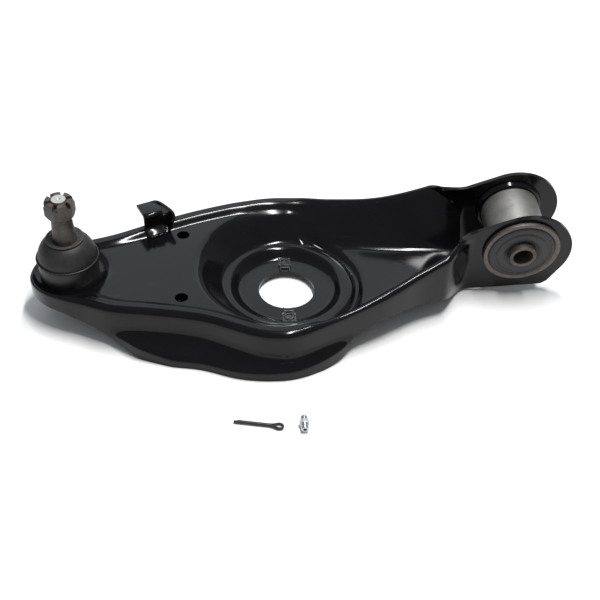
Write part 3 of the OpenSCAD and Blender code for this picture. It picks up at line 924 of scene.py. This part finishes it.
def split_pin():
    """Half-round wire along one leg, round the eye and back: a Catmull-Rom path in the pin's plane."""
    low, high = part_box("cotter_pin")
    z = ((low.z + high.z) / 2 - SEAT[2]) / MM
    leg = [(41, 0.1), (30, 0.1), (16, 0.1), (9, 0.15), (5, 0.8), (2.3, 1.85), (0.2, 2.3), (-1.7, 1.6)]
    shorter = 3
    other_leg = [(u - shorter * (u > 35), -v) for u, v in leg[::-1]]
    plan = through(leg + [(-2.4, 0)] + other_leg, 150)
    turn = math.radians(169)
    path = np.stack([-16.5 + plan[:, 0] * math.cos(turn) - plan[:, 1] * math.sin(turn),
        -175 + plan[:, 0] * math.sin(turn) + plan[:, 1] * math.cos(turn), z + 0 * plan[:, 0]], -1)
    a = np.linspace(-np.pi / 2, np.pi / 2, 13)
    shape = np.stack([-1.6 * np.cos(a), 1.6 * np.sin(a)], -1)
    finish(swept("pin_wire", path, shape, sharp=50), "split_pin", "black_oxide", OXIDE, "cotter_pin")


def grease_fitting():
    """Softened body with thread crests on its shank, and a check spring behind the ball.

    The crests are a cosine of height, and the spring is a helix of even pitch.
    """
    low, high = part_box("grease_fitting")
    base = ((low.x + high.x) / 2, low.y, (low.z + high.z) / 2)
    base = (np.array(base) - SEAT) / MM
    h = np.linspace(0.5, 5.9, 55)
    crest = np.stack([3.2 + 0.22 * np.cos(2 * np.pi * h / 0.9), h], -1)
    thread = turned("crests", np.concatenate([crest, [(3.0, 5.9), (3.0, 0.5)]]), base, (0, 1, 0), count=48)
    body = joined("fitting_body", softened("grease_fitting", 0.25), thread)
    finish(body, "fitting", "zinc_plate", ZINC, "grease_fitting")
    t = np.linspace(0, 1, 240)
    turn = 2 * np.pi * 6.5 * t
    coil = base + np.stack([1.08 * np.cos(turn), 6.4 + 4.6 * t, 1.08 * np.sin(turn)], -1)
    spring = swept("check_coil", coil, ellipse(0.17, 0.17, 8), up=(0, 1, 0), sharp=60)
    finish(spring, "fitting", "spring_steel", OILED, "grease_check_spring")
    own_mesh(spring)


pivot_bushing()
ball_joint()
split_pin()
grease_fitting()

# ---------------------------------------------------------------- carried-over nodes
PLAIN = {"strut_doubler": COAT, "ball_joint_cover": HOUSING, "upper_ball_seat": ACETAL,
    "lower_ball_seat": ACETAL, "preload_spring": OILED, "boot_clamp_ring": OXIDE, "grease_check_ball": STEEL}
for node, material in PLAIN.items():
    mesh = frame["nodes"][node].data
    mesh.materials.clear()
    mesh.materials.append(material)


# ---------------------------------------------------------------- floor, lights and camera
def lamp(name, place, target, size, energy, colour=(1, 1, 1)):
    """A soft rectangular light at place, facing target."""
    data = bpy.data.lights.new(name, "AREA")
    data.shape = "RECTANGLE"
    data.size, data.size_y = size
    data.energy = energy
    data.color = colour
    obj = placed(name, data)
    obj.location = place
    away = Vector(place) - Vector(target)
    obj.rotation_euler = away.to_track_quat("Z", "Y").to_euler()


def stage():
    """Pale floor just under the arm, a dim even sky, and soft boxes overhead and behind."""
    mesh = bpy.data.meshes.new("floor")
    gap = 0.05 * MM
    low = min(GROUND, cad_box[0][2]) - gap
    half = 6.0
    corners = [(-half, -half, low), (half, -half, low), (half, half, low), (-half, half, low)]
    mesh.from_pydata(corners, [], [(0, 1, 2, 3)])
    mesh.materials.append(ground_paint())
    floor = placed("floor", mesh)
    bpy.context.scene.view_settings.view_transform = "Standard"
    world = bpy.data.worlds.new("studio")
    bpy.context.scene.world = world
    world.use_nodes = True
    sky = world.node_tree.nodes["Background"]
    sky.inputs["Color"].default_value = (0.95, 0.97, 1.0, 1.0)
    sky.inputs["Strength"].default_value = 0.3
    centre = SEAT + (0, 0, 0.03)
    lamp("overhead_box", tuple(centre + (0.24, 0.0, 1.5)), tuple(centre), (0.9, 0.11), 28)
    lamp("back_box", tuple(centre + (0.0, 1.5, 1.25)), tuple(centre), (2.6, 1.0), 9, (0.9, 0.95, 1.0))


def camera():
    """Long lens looking down on the arm from the front, a little to the left, leaning slightly."""
    turn, down, lean = math.radians(-5.5), math.radians(41.6), math.radians(-2.2)
    right = Vector((math.cos(turn), math.sin(turn), 0))
    ahead = Vector((-math.sin(turn) * math.cos(down), math.cos(turn) * math.cos(down), -math.sin(down)))
    below = ahead.cross(right)
    leaning_right = right * math.cos(lean) + below * math.sin(lean)
    leaning_down = below * math.cos(lean) - right * math.sin(lean)
    data = bpy.data.cameras.new("camera")
    data.lens = 58.8
    data.clip_start = 0.01
    place = (-0.2888, -0.7724, 0.5961)
    axes = Matrix((leaning_right, -leaning_down, -ahead)).transposed()
    obj = placed("camera", data)
    obj.matrix_world = Matrix.Translation(place) @ axes.to_4x4()
    bpy.context.scene.camera = obj


stage()
camera()
